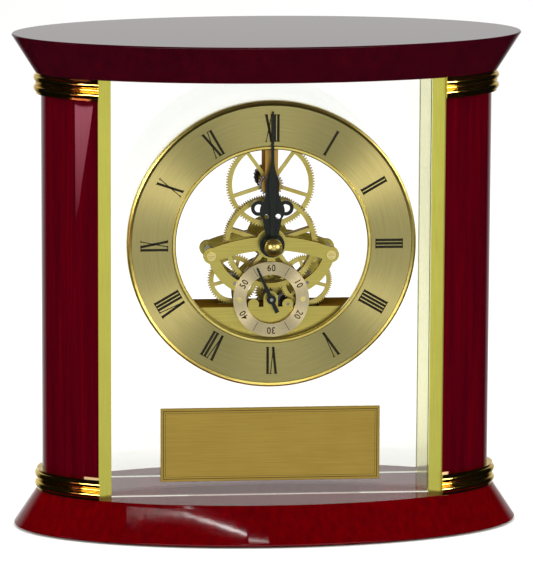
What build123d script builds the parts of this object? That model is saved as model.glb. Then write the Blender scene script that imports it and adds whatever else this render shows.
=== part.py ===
from build123d import *
import os
from math import acos, asin, atan2, cos, degrees, hypot, pi, radians, sin

# Mantel clock, millimetres. +Z is up, the dial faces -Y, and the origin is the middle of
# the underside. "Depth" values are Y, and a part's front is its more negative Y.

# Case: two flared oval slabs, two columns, two brass channels and two glass panes.
WIDTH = 184.8
DEPTH = 88.2
HEIGHT = 180.8
SLAB_HEIGHT = 14.0
SLAB_INSET = 8.8
EDGE_ROUND = 0.5
PAD_THICKNESS = 0.8
PAD_INSET = 5.4
COLUMN_INSET = 10.8
COLLAR_HEIGHT = 7.5
COLLAR_PROUD = 2.7
CHANNEL_INNER = 57.6
CHANNEL_OUTER = 62.3
CHANNEL_HALF_DEPTH = 20.0
PANE_THICKNESS = 3.0
PANE_FRONT = 18.0
GROOVE_DEPTH = 1.4
GROOVE_PLAY = 0.05
ROD_X = 70.0
ROD_R = 2.5
ROD_HOLE_R = 2.7
NUT_R = 4.6
NUT_HEIGHT = 3.2
NUT_POCKET_R = 5.6
INSERT_R = 4.2
INSERT_LENGTH = 8.0

# Engraved plate on the front pane.
PLAQUE_WIDTH = 79.5
PLAQUE_HEIGHT = 27.0
PLAQUE_THICKNESS = 0.8
PLAQUE_Z = 33.0

# Clock insert: the dial is centred on X = 0 at this height.
DIAL_Z = 106.6
BEZEL_R = 52.0
CHAPTER_OUTER_R = 50.3
CHAPTER_INNER_R = 35.9
OPENING_R = 34.5
CASE_OUTER_R = 47.4
CASE_WALL = 1.2
PANE_HOLE_R = 48.2
REAR_HOLE_R = 43.0

# Depths of the insert's layers, front to back.
PANE_Y = -PANE_FRONT
BEZEL_FRONT = -21.9
CHAPTER_FRONT = -21.4
FLANGE_FRONT = -20.6
FLANGE_BACK = -19.8
CASE_BACK = -4.0
BRIDGE_FRONT = -19.0
BOX_FRONT = -17.8
PLATE_FRONT = -2.4
PLATE_BACK = -1.2
THREAD_FRONT = -24.7
MINUTE_FRONT = -23.4
HOUR_FRONT = -22.4
SECONDS_FRONT = -20.9
HAND_THICKNESS = 0.5
NUT_BALL_Y = -27.4
NUT_BALL_R = 3.2

# Gear planes: the middle of each wheel's thickness.
WHEEL_THICKNESS = 1.0
PINION_LENGTH = 1.5
HOUR_PLANE = -16.2
MINUTE_PLANE = -14.4
CENTRE_PLANE = -12.4
THIRD_PLANE = -10.4
TRANSFER_PLANE = -8.4
STEP_PLANE = -6.4
SECONDS_PLANE = -4.2

# Arbor places (x, z) from the middle of the dial.
CENTRE = (0.0, 0.0)
UPPER = (0.0, 21.0)
THIRD = (-13.0, -14.4)
INTERMEDIATE = (13.0, -14.4)
SECONDS = (0.0, -20.2)
EAR = (21.6, -4.3)
ROTOR = (6.2, -22.4)

# Tooth counts: 12 to 1 from the minute to the hour hand, 60 to 1 from the seconds arbor to
# the centre arbor, 30 to 1 from the stepping rotor to the seconds arbor.
CANNON_TEETH = 33
MINUTE_TEETH = 99
MINUTE_PINION_TEETH = 26
HOUR_TEETH = 104
CENTRE_TEETH = 120
THIRD_PINION_TEETH = 20
THIRD_TEETH = 60
IDLER_TEETH = 19
TRANSFER_PINION_TEETH = 12
TRANSFER_TEETH = 24
SECONDS_PINION_TEETH = 12
SECONDS_TEETH = 28
STEP_PINION_TEETH = 14
STEP_TEETH = 32
INTERMEDIATE_PINION_TEETH = 16
INTERMEDIATE_TEETH = 75
ROTOR_TEETH = 10
TRANSFER_DISTANCE = 5.4
THIRD_TO_TRANSFER = 11.6
IDLER_DISTANCE = 4.65
THIRD_TO_IDLER = 11.85
STEP_DISTANCE = 6.51
DRIVE_DISTANCE = 8.16

# Tooth height outside and inside the pitch circle, as shares of the module.
ADDENDUM = 1.0
DEDENDUM = 1.35

# Arbors and their running clearance, and widths of the frame.
ARBOR_R = 0.6
CENTRE_ARBOR_R = 0.75
CANNON_R = 1.45
HOUR_PIPE_R = 2.2
CLEARANCE = 0.06
RIM_WIDTH = 1.5
REAR_HUB_R = 7.4
POST_WIDTH = 4.7
KNOB_BACK = 4.6

# Lower movement box and its contents.
BOX_R = 46.1
BOX_TOP = -23.3
BOX_WALL = 0.8
SUB_DIAL_R = 13.7
SUB_DIAL_INNER_R = 9.0
SUB_DIAL_THICKNESS = 0.8
SUB_SCREW_X = 11.4
BATTERY_R = 6.0
BATTERY_LENGTH = 30.2
BATTERY_X = -9.5
BATTERY_Z = -31.8
BATTERY_Y = -10.5
MAGNET_R = 2.2
STATOR_BORE_R = 2.5
STATOR_RING_R = 3.3
STATOR_FRONT = -11.6

nodes = {}


# ---------------------------------------------------------------- shared geometry


def dial_plane(y):
    """Work plane facing the viewer at depth y, with its origin on the dial's axis."""
    return Plane(origin=(0, y, DIAL_Z), x_dir=(1, 0, 0), z_dir=(0, -1, 0))


def plate(sketch, front, back):
    """A sketch in dial coordinates given thickness between two depths."""
    return extrude(dial_plane(back) * sketch, amount=back - front)


def disc(radius, front, back, at=CENTRE):
    return plate(Pos(*at) * Circle(radius), front, back)


def ring(outer, inner, front, back, at=CENTRE):
    return plate(Pos(*at) * (Circle(outer) - Circle(inner)), front, back)


def turned(profile):
    """A ring turned about the dial's axis from (radius, depth) points."""
    face = make_face(Polyline(*[(r, y, DIAL_Z) for r, y in profile], close=True))
    return revolve(face, axis=Axis((0, 0, DIAL_Z), (0, 1, 0)), revolution_arc=360)


def polar(radius, angle):
    """The point at this radius and this angle in radians."""
    return (radius * cos(angle), radius * sin(angle))


def distance(p, q):
    return hypot(q[0] - p[0], q[1] - p[1])


def direction(p, q):
    """Angle in radians from p to q."""
    return atan2(q[1] - p[1], q[0] - p[0])


def meeting_point(p, q, from_p, from_q, side):
    """The point at these two distances from p and q, left (+1) or right (-1) of the line p to q."""
    span = distance(p, q)
    turn = acos((from_p**2 + span**2 - from_q**2) / (2 * from_p * span))
    x, z = polar(from_p, direction(p, q) + side * turn)
    return (p[0] + x, p[1] + z)


TRANSFER = meeting_point(SECONDS, THIRD, TRANSFER_DISTANCE, THIRD_TO_TRANSFER, -1)
IDLER = meeting_point(TRANSFER, THIRD, IDLER_DISTANCE, THIRD_TO_IDLER, -1)
STEP = meeting_point(SECONDS, INTERMEDIATE, STEP_DISTANCE, DRIVE_DISTANCE, 1)


# ---------------------------------------------------------------- gears


def module_of(span, teeth, mate_teeth):
    """Tooth module of a pair that meshes at this distance."""
    return 2 * span / (teeth + mate_teeth)


def tooth_points(teeth, module, phase):
    """Outline of a toothed wheel with one tooth centred on the phase angle."""
    pitch_r = module * teeth / 2
    tip_r = pitch_r + ADDENDUM * module
    root_r = pitch_r - DEDENDUM * module
    flank = [(root_r, -0.31), (pitch_r, -0.21), (tip_r, -0.09)]
    flank += [(radius, -share) for radius, share in reversed(flank)]
    step = 2 * pi / teeth
    return [polar(radius, phase + (i + share) * step) for i in range(teeth) for radius, share in flank]


def window_points(hub_r, rim_r, spoke_width, start, end):
    """Outline of the gap between two straight spokes."""
    steps = 12
    points = []
    for radius, first, last in ((rim_r, start, end), (hub_r, end, start)):
        trim = asin(spoke_width / 2 / radius)
        sign = 1 if last > first else -1
        low = first + sign * trim
        high = last - sign * trim
        points += [polar(radius, low + (high - low) * i / steps) for i in range(steps + 1)]
    return points


def polygon_wire(points):
    return Wire.make_polygon([Vector(x, z, 0) for x, z in points], close=True)


def bore_points(radius, sides=24):
    """A many-sided bore that a shaft of this radius fits inside."""
    corner = radius / cos(pi / sides)
    return [polar(corner, 2 * pi * i / sides) for i in range(sides)]


def gear(at, teeth, module, phase, plane, bore, spokes=0, hub_r=0.0, spoke_width=1.5, turn=0.0,
         length=WHEEL_THICKNESS):
    """A flat toothed wheel, with spokes where it is large."""
    rim_r = module * (teeth / 2 - DEDENDUM) - RIM_WIDTH
    holes = [polygon_wire(bore_points(bore))]
    for i in range(spokes):
        start = turn + 2 * pi * i / spokes
        holes.append(polygon_wire(window_points(hub_r, rim_r, spoke_width, start, start + 2 * pi / spokes)))
    face = Face(polygon_wire(tooth_points(teeth, module, phase)), holes)
    back = plane + length / 2
    return extrude(dial_plane(back) * Pos(*at) * face, amount=length)


def phase_pair(driver_at, mate_at, mate_teeth):
    """Phases that put a tooth of the driver into a gap of its mate on the line of centres."""
    line = direction(driver_at, mate_at)
    return line, line + pi + pi / mate_teeth


def following_phase(at, teeth, phase, mate_at, mate_teeth):
    """Phase of a wheel that meshes with one whose own phase is already set."""
    line = direction(at, mate_at)
    share = (line - phase) * teeth / (2 * pi)
    return line + pi + (share + 0.5) * 2 * pi / mate_teeth


def shaft(at, radius, front, back):
    return disc(radius, front, back, at)


def setting_train():
    """Cannon pinion, minute wheel with its pinion, and hour wheel: 12 to 1."""
    span = distance(CENTRE, UPPER)
    fine = module_of(span, CANNON_TEETH, MINUTE_TEETH)
    coarse = module_of(span, MINUTE_PINION_TEETH, HOUR_TEETH)
    cannon_phase, minute_phase = phase_pair(CENTRE, UPPER, MINUTE_TEETH)
    pinion_phase, hour_phase = phase_pair(UPPER, CENTRE, HOUR_TEETH)
    bore = CENTRE_ARBOR_R + CLEARANCE

    cannon = gear(CENTRE, CANNON_TEETH, fine, cannon_phase, MINUTE_PLANE, CANNON_R - 0.2,
                  length=PINION_LENGTH)
    cannon += shaft(CENTRE, CANNON_R, THREAD_FRONT, MINUTE_PLANE + PINION_LENGTH / 2)
    nodes["cannon_pinion"] = cannon - shaft(CENTRE, bore, THREAD_FRONT - 1, 0)

    nodes["minute_wheel"] = gear(
        UPPER, MINUTE_TEETH, fine, minute_phase, MINUTE_PLANE, ARBOR_R, 5, 3.6, 1.35, radians(90 + 36)
    )
    arbor = shaft(UPPER, ARBOR_R, HOUR_PLANE - 1.2, KNOB_BACK - 1.6)
    arbor += gear(UPPER, MINUTE_PINION_TEETH, coarse, pinion_phase, HOUR_PLANE, ARBOR_R - 0.1,
                  length=PINION_LENGTH)
    nodes["minute_wheel_arbor"] = arbor + ring(2.6, ARBOR_R - 0.1, HOUR_PLANE, MINUTE_PLANE - 0.5, UPPER)
    wheel = gear(
        CENTRE, HOUR_TEETH, coarse, hour_phase, HOUR_PLANE, HOUR_PIPE_R - 0.2, 5, 4.4, 1.35, radians(90)
    )
    pipe = ring(HOUR_PIPE_R, CANNON_R + CLEARANCE, HOUR_FRONT, HOUR_PLANE + WHEEL_THICKNESS / 2)
    nodes["hour_wheel"] = wheel + pipe


def third_stage():
    """Centre wheel driven by the third wheel's pinion: 6 to 1."""
    module = module_of(distance(CENTRE, THIRD), THIRD_PINION_TEETH, CENTRE_TEETH)
    pinion_phase, centre_phase = phase_pair(THIRD, CENTRE, CENTRE_TEETH)
    nodes["centre_wheel"] = gear(
        CENTRE, CENTRE_TEETH, module, centre_phase, CENTRE_PLANE, CENTRE_ARBOR_R, 5, 4.0, 1.35, radians(90)
    )
    arbor = shaft(CENTRE, CENTRE_ARBOR_R, THREAD_FRONT + 0.2, PLATE_BACK)
    nodes["centre_arbor"] = arbor + ring(1.6, CENTRE_ARBOR_R - 0.1, CENTRE_PLANE + 0.5, CENTRE_PLANE + 1.5)
    pinion = gear(THIRD, THIRD_PINION_TEETH, module, pinion_phase, CENTRE_PLANE, ARBOR_R - 0.1,
                  length=PINION_LENGTH)
    nodes["third_arbor"] = shaft(THIRD, ARBOR_R, BRIDGE_FRONT, PLATE_BACK) + pinion


def transfer_stage():
    """Seconds pinion, transfer gear, idler and third wheel: 2 to 1, then 5 to 1 the other way round."""
    bore = ARBOR_R + CLEARANCE
    module = module_of(IDLER_DISTANCE, TRANSFER_PINION_TEETH, IDLER_TEETH)
    pinion_phase, idler_phase = phase_pair(TRANSFER, IDLER, IDLER_TEETH)
    third_phase = following_phase(IDLER, IDLER_TEETH, idler_phase, THIRD, THIRD_TEETH)
    pinion = gear(TRANSFER, TRANSFER_PINION_TEETH, module, pinion_phase, THIRD_PLANE, bore,
                  length=PINION_LENGTH)
    nodes["idler_gear"] = gear(IDLER, IDLER_TEETH, module, idler_phase, THIRD_PLANE, bore,
                               length=PINION_LENGTH)
    nodes["third_wheel"] = gear(
        THIRD, THIRD_TEETH, module, third_phase, THIRD_PLANE, ARBOR_R, 3, 2.2, 1.2, radians(75)
    )
    module = module_of(TRANSFER_DISTANCE, SECONDS_PINION_TEETH, TRANSFER_TEETH)
    seconds_phase, wheel_phase = phase_pair(SECONDS, TRANSFER, TRANSFER_TEETH)
    wheel = gear(TRANSFER, TRANSFER_TEETH, module, wheel_phase, TRANSFER_PLANE, bore)
    nodes["transfer_gear"] = pinion + ring(1.3, bore, THIRD_PLANE, TRANSFER_PLANE, TRANSFER) + wheel
    return gear(SECONDS, SECONDS_PINION_TEETH, module, seconds_phase, TRANSFER_PLANE, ARBOR_R - 0.1,
                length=PINION_LENGTH)


def seconds_stage(seconds_pinion):
    """Intermediate pinion, step gear and seconds wheel: 2 to 1 twice."""
    module = module_of(STEP_DISTANCE, STEP_PINION_TEETH, SECONDS_TEETH)
    pinion_phase, wheel_phase = phase_pair(STEP, SECONDS, SECONDS_TEETH)
    nodes["seconds_wheel"] = gear(SECONDS, SECONDS_TEETH, module, wheel_phase, SECONDS_PLANE, ARBOR_R)
    nodes["seconds_arbor"] = shaft(SECONDS, ARBOR_R, SECONDS_FRONT - 0.4, PLATE_BACK) + seconds_pinion
    bore = ARBOR_R + CLEARANCE
    step_pinion = gear(STEP, STEP_PINION_TEETH, module, pinion_phase, SECONDS_PLANE, bore,
                       length=PINION_LENGTH)
    module = module_of(DRIVE_DISTANCE, INTERMEDIATE_PINION_TEETH, STEP_TEETH)
    drive_phase, step_phase = phase_pair(INTERMEDIATE, STEP, STEP_TEETH)
    step_wheel = gear(STEP, STEP_TEETH, module, step_phase, STEP_PLANE, bore)
    nodes["step_gear"] = step_pinion + ring(1.3, bore, STEP_PLANE, SECONDS_PLANE, STEP) + step_wheel
    drive = gear(INTERMEDIATE, INTERMEDIATE_PINION_TEETH, module, drive_phase, STEP_PLANE, ARBOR_R - 0.1,
                 length=PINION_LENGTH)
    nodes["intermediate_arbor"] = shaft(INTERMEDIATE, ARBOR_R, BRIDGE_FRONT, PLATE_BACK) + drive


def rotor_stage():
    """Stepping rotor and intermediate wheel: 7.5 to 1."""
    module = module_of(distance(ROTOR, INTERMEDIATE), ROTOR_TEETH, INTERMEDIATE_TEETH)
    pinion_phase, wheel_phase = phase_pair(ROTOR, INTERMEDIATE, INTERMEDIATE_TEETH)
    nodes["intermediate_wheel"] = gear(
        INTERMEDIATE, INTERMEDIATE_TEETH, module, wheel_phase, MINUTE_PLANE, ARBOR_R,
        3, 2.2, 1.2, radians(105)
    )
    pinion = gear(ROTOR, ROTOR_TEETH, module, pinion_phase, MINUTE_PLANE, 0.4, length=PINION_LENGTH)
    nodes["rotor_arbor"] = shaft(ROTOR, 0.5, BOX_FRONT, PLATE_BACK) + pinion
    nodes["rotor_magnet"] = ring(MAGNET_R, 0.5, STATOR_FRONT - 1.0, STATOR_FRONT + 2.0, ROTOR)


# ---------------------------------------------------------------- case


def oval(inset):
    """The oval outline, this far inside the slabs' largest edge."""
    return Ellipse(WIDTH / 2 - inset, DEPTH / 2 - inset)


def slab(wide_z, narrow_z):
    """A flared oval slab between its wide and its narrow face, with softened edges."""
    wide = Plane.XY.offset(wide_z) * oval(0)
    narrow = Plane.XY.offset(narrow_z) * oval(SLAB_INSET)
    body = loft([wide, narrow], ruled=True)
    rims = [edge for edge in body.edges() if edge.geom_type == GeomType.ELLIPSE]
    return fillet(rims, EDGE_ROUND)


def post(x, radius, low, high):
    return Pos(x, 0, low) * Cylinder(radius, high - low, align=(Align.CENTER, Align.CENTER, Align.MIN))


def both_sides(radius, low, high):
    return post(-ROD_X, radius, low, high) + post(ROD_X, radius, low, high)


def make_slabs():
    top_of_base = SLAB_HEIGHT
    under_top = HEIGHT - SLAB_HEIGHT
    base = slab(PAD_THICKNESS, top_of_base)
    base -= both_sides(NUT_POCKET_R, 0, PAD_THICKNESS + NUT_HEIGHT + 1.0)
    nodes["base"] = base - both_sides(ROD_HOLE_R, 0, HEIGHT / 2)
    sockets = both_sides(INSERT_R, under_top - 1, under_top + INSERT_LENGTH)
    nodes["top_slab"] = slab(HEIGHT, under_top) - sockets
    nodes["base_felt"] = extrude(oval(PAD_INSET), amount=PAD_THICKNESS)


def make_tie_rods():
    """Threaded rods through the columns, their nuts under the base and inserts in the top slab."""
    under_top = HEIGHT - SLAB_HEIGHT
    nut_z = PAD_THICKNESS + 1.0
    insert = both_sides(INSERT_R, under_top, under_top + INSERT_LENGTH)
    nodes["threaded_inserts"] = insert - both_sides(ROD_R, 0, HEIGHT)
    nodes["tie_rods"] = both_sides(ROD_R, nut_z, under_top + INSERT_LENGTH)
    hexagon = extrude(RegularPolygon(NUT_R, 6), amount=NUT_HEIGHT)
    nuts = Pos(-ROD_X, 0, nut_z) * hexagon + Pos(ROD_X, 0, nut_z) * hexagon
    nodes["tie_rod_nuts"] = nuts - both_sides(ROD_R, 0, HEIGHT)


def outer_end(solid, side):
    """Keeps the part of an oval solid that lies outside one channel."""
    keeper = Pos(side * (CHANNEL_OUTER + WIDTH / 2), 0, HEIGHT / 2) * Box(WIDTH, WIDTH, HEIGHT)
    return solid & keeper


def make_columns():
    length = HEIGHT - 2 * SLAB_HEIGHT
    prism = Pos(0, 0, SLAB_HEIGHT) * extrude(oval(COLUMN_INSET), amount=length)
    prism -= both_sides(ROD_HOLE_R, 0, HEIGHT)
    nodes["column_left"] = outer_end(prism, -1)
    nodes["column_right"] = outer_end(prism, 1)


def collar_profile(path_start, tangent):
    """Two fat beads with a fine bead between them and a thin lip at each edge."""
    half = COLLAR_HEIGHT / 2
    lip, seat, fine = 1.9, 1.52, 2.05
    lip_height = 0.7
    fine_half = 0.65
    bead_middle = (half - lip_height + fine_half) / 2
    side = []
    for sign in (-1, 1):
        side.append(Line((0, sign * half), (lip, sign * half)))
        side.append(Line((lip, sign * half), (lip, sign * (half - lip_height))))
        side.append(Line((lip, sign * (half - lip_height)), (seat, sign * (half - lip_height))))
        side.append(ThreePointArc(
            (seat, sign * (half - lip_height)), (COLLAR_PROUD, sign * bead_middle), (seat, sign * fine_half)
        ))
    side.append(ThreePointArc((seat, -fine_half), (fine, 0), (seat, fine_half)))
    side.append(Line((0, half), (0, -half)))
    face = make_face(Curve() + side)
    outward = Vector(tangent.Y, -tangent.X, 0)
    return Plane(origin=path_start, x_dir=outward, z_dir=tangent) * face


def make_collars():
    a = WIDTH / 2 - COLUMN_INSET
    b = DEPTH / 2 - COLUMN_INSET
    reach = degrees(acos(CHANNEL_OUTER / a)) + 6
    path = EllipticalCenterArc((0, 0), a, b, -reach, arc_size=2 * reach)
    band = sweep(collar_profile(path @ 0, path % 0), path=path)
    right = outer_end(Pos(0, 0, HEIGHT / 2) * band, 1)
    drop = HEIGHT / 2 - SLAB_HEIGHT - COLLAR_HEIGHT / 2
    for level, z in (("bottom", -drop), ("top", drop)):
        nodes[f"collar_{level}_right"] = Pos(0, 0, z) * right
        nodes[f"collar_{level}_left"] = mirror(Pos(0, 0, z) * right, about=Plane.YZ)


def box_between(low, high):
    """A box from its lowest to its highest corner."""
    size = [h - l for l, h in zip(low, high)]
    middle = [(h + l) / 2 for l, h in zip(low, high)]
    return Pos(*middle) * Box(*size)


def make_channels():
    """Upright channels with a groove for each pane in the inner face."""
    low_z = SLAB_HEIGHT
    high_z = HEIGHT - SLAB_HEIGHT
    half = CHANNEL_HALF_DEPTH
    bar = box_between((CHANNEL_INNER, -half, low_z), (CHANNEL_OUTER, half, high_z))
    for side in (-1, 1):
        edges = sorted((side * PANE_FRONT, side * (PANE_FRONT - PANE_THICKNESS)))
        bar -= box_between(
            (CHANNEL_INNER - 1, edges[0] - GROOVE_PLAY, low_z - 1),
            (CHANNEL_INNER + GROOVE_DEPTH, edges[1] + GROOVE_PLAY, high_z + 1),
        )
    nodes["channel_right"] = bar
    nodes["channel_left"] = mirror(bar, about=Plane.YZ)


def make_panes():
    half = CHANNEL_INNER + GROOVE_DEPTH - 0.2
    low_z = SLAB_HEIGHT
    high_z = HEIGHT - SLAB_HEIGHT
    front = box_between((-half, PANE_Y, low_z), (half, PANE_Y + PANE_THICKNESS, high_z))
    rear = box_between((-half, PANE_FRONT - PANE_THICKNESS, low_z), (half, PANE_FRONT, high_z))
    nodes["front_pane"] = front - disc(PANE_HOLE_R, PANE_Y - 1, PANE_Y + PANE_THICKNESS + 1)
    nodes["rear_pane"] = rear - disc(REAR_HOLE_R, PANE_FRONT - PANE_THICKNESS - 1, PANE_FRONT + 1)


def make_plaque():
    half = PLAQUE_WIDTH / 2
    low = PLAQUE_Z - PLAQUE_HEIGHT / 2
    high = PLAQUE_Z + PLAQUE_HEIGHT / 2
    metal = box_between((-half, PANE_Y - PLAQUE_THICKNESS, low), (half, PANE_Y, high))
    front = metal.faces().sort_by(Axis.Y)[0]
    nodes["plaque"] = chamfer(front.edges(), 0.15)


# ---------------------------------------------------------------- insert case and dial


def make_insert_case():
    """Flanged tube that passes through the front pane, its bezel, dial rings and gasket."""
    flange_r = 50.9
    inner = CASE_OUTER_R - CASE_WALL
    case = ring(flange_r, OPENING_R, FLANGE_FRONT, FLANGE_BACK)
    case += ring(CASE_OUTER_R, inner, FLANGE_BACK, CASE_BACK)
    nodes["insert_case"] = case
    nodes["bezel"] = turned([
        (flange_r, PANE_Y), (BEZEL_R, PANE_Y), (BEZEL_R, BEZEL_FRONT + 1.0),
        (BEZEL_R - 0.25, BEZEL_FRONT + 0.35), (BEZEL_R - 0.75, BEZEL_FRONT),
        (CHAPTER_OUTER_R + 0.15, BEZEL_FRONT + 0.35), (CHAPTER_OUTER_R + 0.15, CHAPTER_FRONT + 0.05),
        (flange_r, CHAPTER_FRONT + 0.05),
    ])
    nodes["chapter_ring"] = ring(CHAPTER_OUTER_R, CHAPTER_INNER_R, CHAPTER_FRONT, FLANGE_FRONT)
    nodes["inner_rim"] = turned([
        (OPENING_R, FLANGE_FRONT), (CHAPTER_INNER_R, FLANGE_FRONT), (CHAPTER_INNER_R, CHAPTER_FRONT - 0.1),
        (CHAPTER_INNER_R - 0.35, BEZEL_FRONT + 0.05), (OPENING_R + 0.35, BEZEL_FRONT + 0.05),
        (OPENING_R, CHAPTER_FRONT - 0.1),
    ])
    lip_back = PANE_Y + PANE_THICKNESS + 1.6
    gasket = ring(PANE_HOLE_R, CASE_OUTER_R, PANE_Y, PANE_Y + PANE_THICKNESS)
    nodes["case_gasket"] = gasket + ring(PANE_HOLE_R + 1.2, CASE_OUTER_R, PANE_Y + PANE_THICKNESS, lip_back)


# ---------------------------------------------------------------- movement frame


def band(start, middle, end, width):
    """A curved strap of constant width along a three-point arc, with round ends."""
    path = ThreePointArc(start, middle, end)
    centre = path.arc_center
    radius = path.radius
    reach = 200
    wedge = make_face(Polyline(
        (centre.X, centre.Y),
        tuple(scaled_from(centre, start, reach)),
        tuple(scaled_from(centre, middle, reach)),
        tuple(scaled_from(centre, end, reach)),
        close=True,
    ))
    strap = Pos(centre.X, centre.Y) * (Circle(radius + width / 2) - Circle(radius - width / 2)) & wedge
    return strap + Pos(*start) * Circle(width / 2) + Pos(*end) * Circle(width / 2)


def scaled_from(centre, point, reach):
    """A point far out along the ray from the centre through the point."""
    angle = direction((centre.X, centre.Y), point)
    x, z = polar(reach, angle)
    return (centre.X + x, centre.Y + z)


def mirrored(sketch):
    return sketch + mirror(sketch, about=Plane.YZ)


def strap(start, end, width):
    """A straight strap with round ends."""
    middle = ((start[0] + end[0]) / 2, (start[1] + end[1]) / 2)
    turn = degrees(direction(start, end))
    straight = Pos(*middle) * Rot(0, 0, turn) * Rectangle(distance(start, end), width)
    return straight + Pos(*start) * Circle(width / 2) + Pos(*end) * Circle(width / 2)


def frame_outline():
    """The arch, its ears and legs, the hub and the ring behind the small dial."""
    x, z = EAR
    arch = band((-x, z), (0, 0), (x, z), 5.0)
    leg = band((x - 1.0, z - 1.5), (INTERMEDIATE[0] + 4.7, -11.0), (INTERMEDIATE[0] - 2.0, -16.0), 4.0)
    ear = Pos(x, z) * Circle(2.9)
    hub = Circle(5.6)
    tab = Pos(0, -7.0) * Rectangle(2.8, 6.0)
    lower = Pos(*SECONDS) * (Circle(12.9) - Circle(SUB_DIAL_INNER_R + 0.1))
    return arch + mirrored(leg + ear) + hub + tab + lower


def pivot_holes(places, radius=ARBOR_R + CLEARANCE):
    holes = Sketch()
    for at in places:
        holes += Pos(*at) * Circle(radius)
    return holes


def segment(radius, top):
    """The part of a disc below a level line."""
    return Circle(radius) & Pos(0, top - radius) * Rectangle(2 * radius, 2 * radius)


def make_bridges():
    ears = [(-EAR[0], EAR[1]), EAR]
    ear_holes = pivot_holes(ears, 0.8)
    sub_screws = pivot_holes([(-SUB_SCREW_X, SECONDS[1]), (SUB_SCREW_X, SECONDS[1])], 0.5)
    front = frame_outline() - pivot_holes([THIRD, INTERMEDIATE]) - ear_holes - sub_screws
    front -= Circle(HOUR_PIPE_R + CLEARANCE)
    nodes["front_bridge"] = plate(front, BRIDGE_FRONT, BOX_FRONT)

    rear = frame_outline() + segment(BOX_R, BOX_TOP) + Circle(REAR_HUB_R)
    rear += strap((SECONDS[0], BOX_TOP - 1.0), SECONDS, 3.6) + strap(IDLER, TRANSFER, 2.6)
    step_x, step_z = polar(STEP_DISTANCE + 4.0, direction(SECONDS, STEP))
    rear += strap(STEP, (SECONDS[0] + step_x, SECONDS[1] + step_z), 2.6)
    window = Pos(BATTERY_X, BATTERY_Z) * Rectangle(BATTERY_LENGTH + 1.0, 2 * BATTERY_R + 0.2)
    rear -= window + ear_holes + Circle(CENTRE_ARBOR_R + CLEARANCE) + pivot_holes([ROTOR], 0.5 + CLEARANCE)
    rear -= pivot_holes([THIRD, INTERMEDIATE, SECONDS])
    rear -= pivot_holes([IDLER, TRANSFER, STEP], ARBOR_R)
    nodes["rear_plate"] = plate(rear, PLATE_FRONT, PLATE_BACK)

    pillars = [ring(1.5, 0.8, BOX_FRONT, PLATE_FRONT, at) for at in ears]
    nodes["frame_pillars"] = Part() + pillars
    studs = [
        shaft(IDLER, ARBOR_R, THIRD_PLANE - 1.1, PLATE_BACK),
        shaft(TRANSFER, ARBOR_R, THIRD_PLANE - 1.1, PLATE_BACK),
        shaft(STEP, ARBOR_R, STEP_PLANE - 0.9, PLATE_BACK),
    ]
    nodes["idler_studs"] = Part() + studs


def cross_screw(at, head_r, shank_r, seat, tip, facing=-1, head=0.9):
    """A cross-head screw whose head sits at the seat depth; facing -1 puts the head in front."""
    slot = head / 2
    front = min(seat, seat + facing * head)
    back = max(seat, seat + facing * head)
    crown = seat + facing * head
    cut_front = min(crown, crown - facing * slot)
    cut_back = max(crown, crown - facing * slot)
    cross = Rectangle(1.3 * head_r, 0.3) + Rectangle(0.3, 1.3 * head_r)
    body = disc(head_r, front, back, at) - plate(Pos(*at) * cross, cut_front, cut_back)
    return body + disc(shank_r, min(seat, tip), max(seat, tip), at)


def make_screws():
    ears = [(-EAR[0], EAR[1]), EAR]
    screws = [cross_screw(at, 1.7, 0.8, BRIDGE_FRONT, BOX_FRONT + 4.5) for at in ears]
    screws += [cross_screw(at, 1.7, 0.8, PLATE_BACK, PLATE_FRONT - 4.5, 1) for at in ears]
    nodes["frame_screws"] = Part() + screws
    face = BRIDGE_FRONT - SUB_DIAL_THICKNESS
    places = [(-SUB_SCREW_X, SECONDS[1]), (SUB_SCREW_X, SECONDS[1])]
    screws = [cross_screw(at, 0.9, 0.5, face, BOX_FRONT, head=0.45) for at in places]
    nodes["sub_dial_screws"] = Part() + screws


def make_sub_dial():
    face = Pos(*SECONDS) * (Circle(SUB_DIAL_R) - Circle(SUB_DIAL_INNER_R))
    face -= pivot_holes([(-SUB_SCREW_X, SECONDS[1]), (SUB_SCREW_X, SECONDS[1])], 0.5)
    nodes["sub_dial_ring"] = plate(face, BRIDGE_FRONT - SUB_DIAL_THICKNESS, BRIDGE_FRONT)


def make_upper_post():
    """Two arms from the top of the case down to the bearings of the minute wheel's arbor."""
    inner = CASE_OUTER_R - CASE_WALL
    middle = (inner + UPPER[1]) / 2
    arm = Pos(0, middle) * Rectangle(POST_WIDTH, inner - UPPER[1]) + Pos(*UPPER) * Circle(3.6)
    arm = (arm & Circle(inner)) - pivot_holes([UPPER])
    foot = Pos(0, inner - 2) * Rectangle(12, 6) & (Circle(inner) - Circle(inner - 2.5))
    back = CASE_BACK - 1
    body = plate(arm, BRIDGE_FRONT, BOX_FRONT) + plate(arm, back - 1.2, back)
    nodes["upper_post"] = body + plate(foot, BRIDGE_FRONT, back)


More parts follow.
